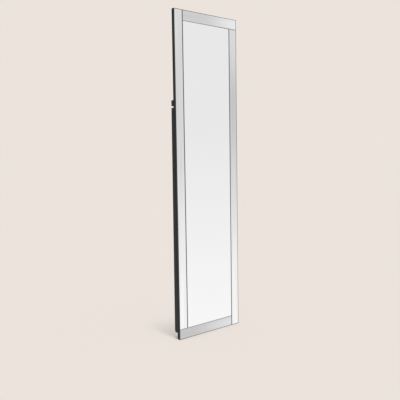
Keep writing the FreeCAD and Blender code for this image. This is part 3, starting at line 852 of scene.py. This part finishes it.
def hang_light(name, level, elevation, side, width):
    """A far light that gives the floor that share of its light."""
    level_reach = math.cos(elevation)
    towards = Vector((
        -math.sin(side) * level_reach, -math.cos(side) * level_reach, math.sin(elevation)))
    light = bpy.data.lights.new(name, "SUN")
    light.energy = math.pi * level / math.sin(elevation)
    light.angle = width
    lamp = bpy.data.objects.new(name, light)
    lamp.rotation_mode = "QUATERNION"
    lamp.rotation_quaternion = towards.to_track_quat("Z", "Y")
    lamp.visible_glossy = False
    bpy.context.scene.collection.objects.link(lamp)


def hang_lights(stage):
    """One light straight overhead, and a strip of them from there towards the front."""
    hang_light("overhead_light", stage.overhead, math.pi / 2, 0.0, stage.overhead_width)
    elevations = np.linspace(stage.strip_high, stage.strip_low, STRIP_LIGHTS)
    levels = stage.strip_fade ** np.arange(STRIP_LIGHTS)
    levels *= stage.strip / levels.sum()
    for number, (elevation, level) in enumerate(zip(elevations, levels), start=1):
        name = f"strip_light_{number}"
        hang_light(name, float(level), float(elevation), stage.strip_side, stage.strip_width)


def set_camera(stage):
    """A camera turned about the upright, tipped down and then rolled about its line of sight."""
    turn = Matrix.Rotation(stage.camera_yaw, 3, "Z")
    tip = Matrix.Rotation(math.pi / 2 - stage.camera_pitch, 3, "X")
    roll = Matrix.Rotation(stage.camera_roll, 3, "Z")
    camera = bpy.data.objects.new("camera", bpy.data.cameras.new("camera"))
    camera.matrix_world = Matrix.Translation(stage.camera_place) @ (turn @ tip @ roll).to_4x4()
    camera.data.lens = stage.lens
    camera.data.clip_end = 2 * stage.floor_span
    bpy.context.scene.collection.objects.link(camera)
    bpy.context.scene.camera = camera


# Operators

class SilverPanes(bpy.types.Operator):
    """Silver the centre pane and the four border strips"""

    bl_idname = "floor_mirror.silver_panes"
    bl_label = "Silver the panes"

    def execute(self, context):
        dress("centre_mirror", silvered_glass("centre_silvered_glass"))
        # Each border strip gets its painted reflection tones
        for nodes, tone in ((UPRIGHT_STRIPS, upright_painted_reflection), (LEVEL_STRIPS, level_painted_reflection)):
            for node in nodes:
                dress(node, silvered_glass(f"border_silvered_glass_{node}", tone(node)))
        return {"FINISHED"}


class PaintBoard(bpy.types.Operator):
    """Paint the backing board black"""

    bl_idname = "floor_mirror.paint_board"
    bl_label = "Paint the board"

    def execute(self, context):
        dress("backing_board", painted_board())
        return {"FINISHED"}


class PaintTimber(bpy.types.Operator):
    """Paint the stop rail and the stand's frame black"""

    bl_idname = "floor_mirror.paint_timber"
    bl_label = "Paint the timber"

    def execute(self, context):
        for nodes, grain in ((UPRIGHT_TIMBER, UPRIGHT_GRAIN), (LEVEL_TIMBER, LEVEL_GRAIN)):
            for node in nodes:
                dress(node, painted_timber(node, grain))
        return {"FINISHED"}


class PlateHardware(bpy.types.Operator):
    """Plate the hinges, their pins and the screws"""

    bl_idname = "floor_mirror.plate_hardware"
    bl_label = "Plate the hardware"

    def execute(self, context):
        finish = context.scene.mirror_hardware
        leaf = plated_steel("hinge_steel", finish.leaf, finish.leaf_roughness)
        pin = plated_steel("pin_steel", finish.pin, finish.pin_roughness)
        screw = plated_steel("screw_steel", finish.screw, finish.screw_roughness)
        for nodes, material in ((HINGE_LEAVES, leaf), (HINGE_PINS, pin), (SCREWS, screw)):
            for node in nodes:
                dress(node, material)
        return {"FINISHED"}


class DressJoints(bpy.types.Operator):
    """Finish the dowels and the mounting tape inside the joints"""

    bl_idname = "floor_mirror.dress_joints"
    bl_label = "Finish the inner joints"

    def execute(self, context):
        dress("stand_dowels", turned_beech())
        dress("mounting_tape", foam_tape())
        return {"FINISHED"}


class MouldFeet(bpy.types.Operator):
    """Finish the stand's rubber feet"""

    bl_idname = "floor_mirror.mould_feet"
    bl_label = "Finish the feet"

    def execute(self, context):
        rubber = moulded_rubber()
        for node in FEET:
            dress(node, rubber)
        return {"FINISHED"}


class PressBumpers(bpy.types.Operator):
    """Make the felt bumpers in place of their plain solids"""

    bl_idname = "floor_mirror.press_bumpers"
    bl_label = "Press the felt bumpers"

    def execute(self, context):
        low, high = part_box("stand_bumpers")
        finish = context.scene.mirror_trim
        vertices, faces = felt_discs(low, high, finish.bumper_radius, finish.nap)
        felt = new_object("felt_bumpers", vertices, faces, pressed_felt())
        felt.data.shade_smooth()
        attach(felt, "stand")
        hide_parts("stand_bumpers")
        return {"FINISHED"}


class SetStage(bpy.types.Operator):
    """Lay the floor, hang the backdrop and set the lights and the camera"""

    bl_idname = "floor_mirror.set_stage"
    bl_label = "Set the stage"

    def execute(self, context):
        stage = context.scene.mirror_stage
        context.scene.view_settings.view_transform = "Standard"
        lay_floor(stage)
        hang_backdrop(stage)
        hang_lights(stage)
        set_camera(stage)
        return {"FINISHED"}


OPERATORS = (
    SilverPanes, PaintBoard, PaintTimber, PlateHardware, DressJoints, MouldFeet, PressBumpers, SetStage,
)


class FloorMirrorPanel(bpy.types.Panel):
    """The finishes and the stage in the order in which they are made, and the settings of each"""

    bl_idname = "VIEW3D_PT_floor_mirror"
    bl_label = "Floor mirror"
    bl_space_type = "VIEW_3D"
    bl_region_type = "UI"
    bl_category = "Floor mirror"

    def draw(self, context):
        for operator in OPERATORS:
            self.layout.operator(operator.bl_idname)
        for name, group in SETTINGS.items():
            box = self.layout.box()
            box.label(text=group.__doc__)
            for setting in group.__annotations__:
                box.prop(getattr(context.scene, name), setting)


CLASSES = (*SETTINGS.values(), *OPERATORS, FloorMirrorPanel)


def register():
    for made in CLASSES:
        bpy.utils.register_class(made)
    for name, group in SETTINGS.items():
        setattr(bpy.types.Scene, name, bpy.props.PointerProperty(type=group))


def unregister():
    for name in SETTINGS:
        delattr(bpy.types.Scene, name)
    for made in reversed(CLASSES):
        bpy.utils.unregister_class(made)


def write_size():
    """Bring the scene's view layer up to date."""
    bpy.context.view_layer.update()


def main():
    register()
    for operator in OPERATORS:
        family, name = operator.bl_idname.split(".")
        getattr(getattr(bpy.ops, family), name)()
    write_size()


if __name__ == "__main__":
    main()
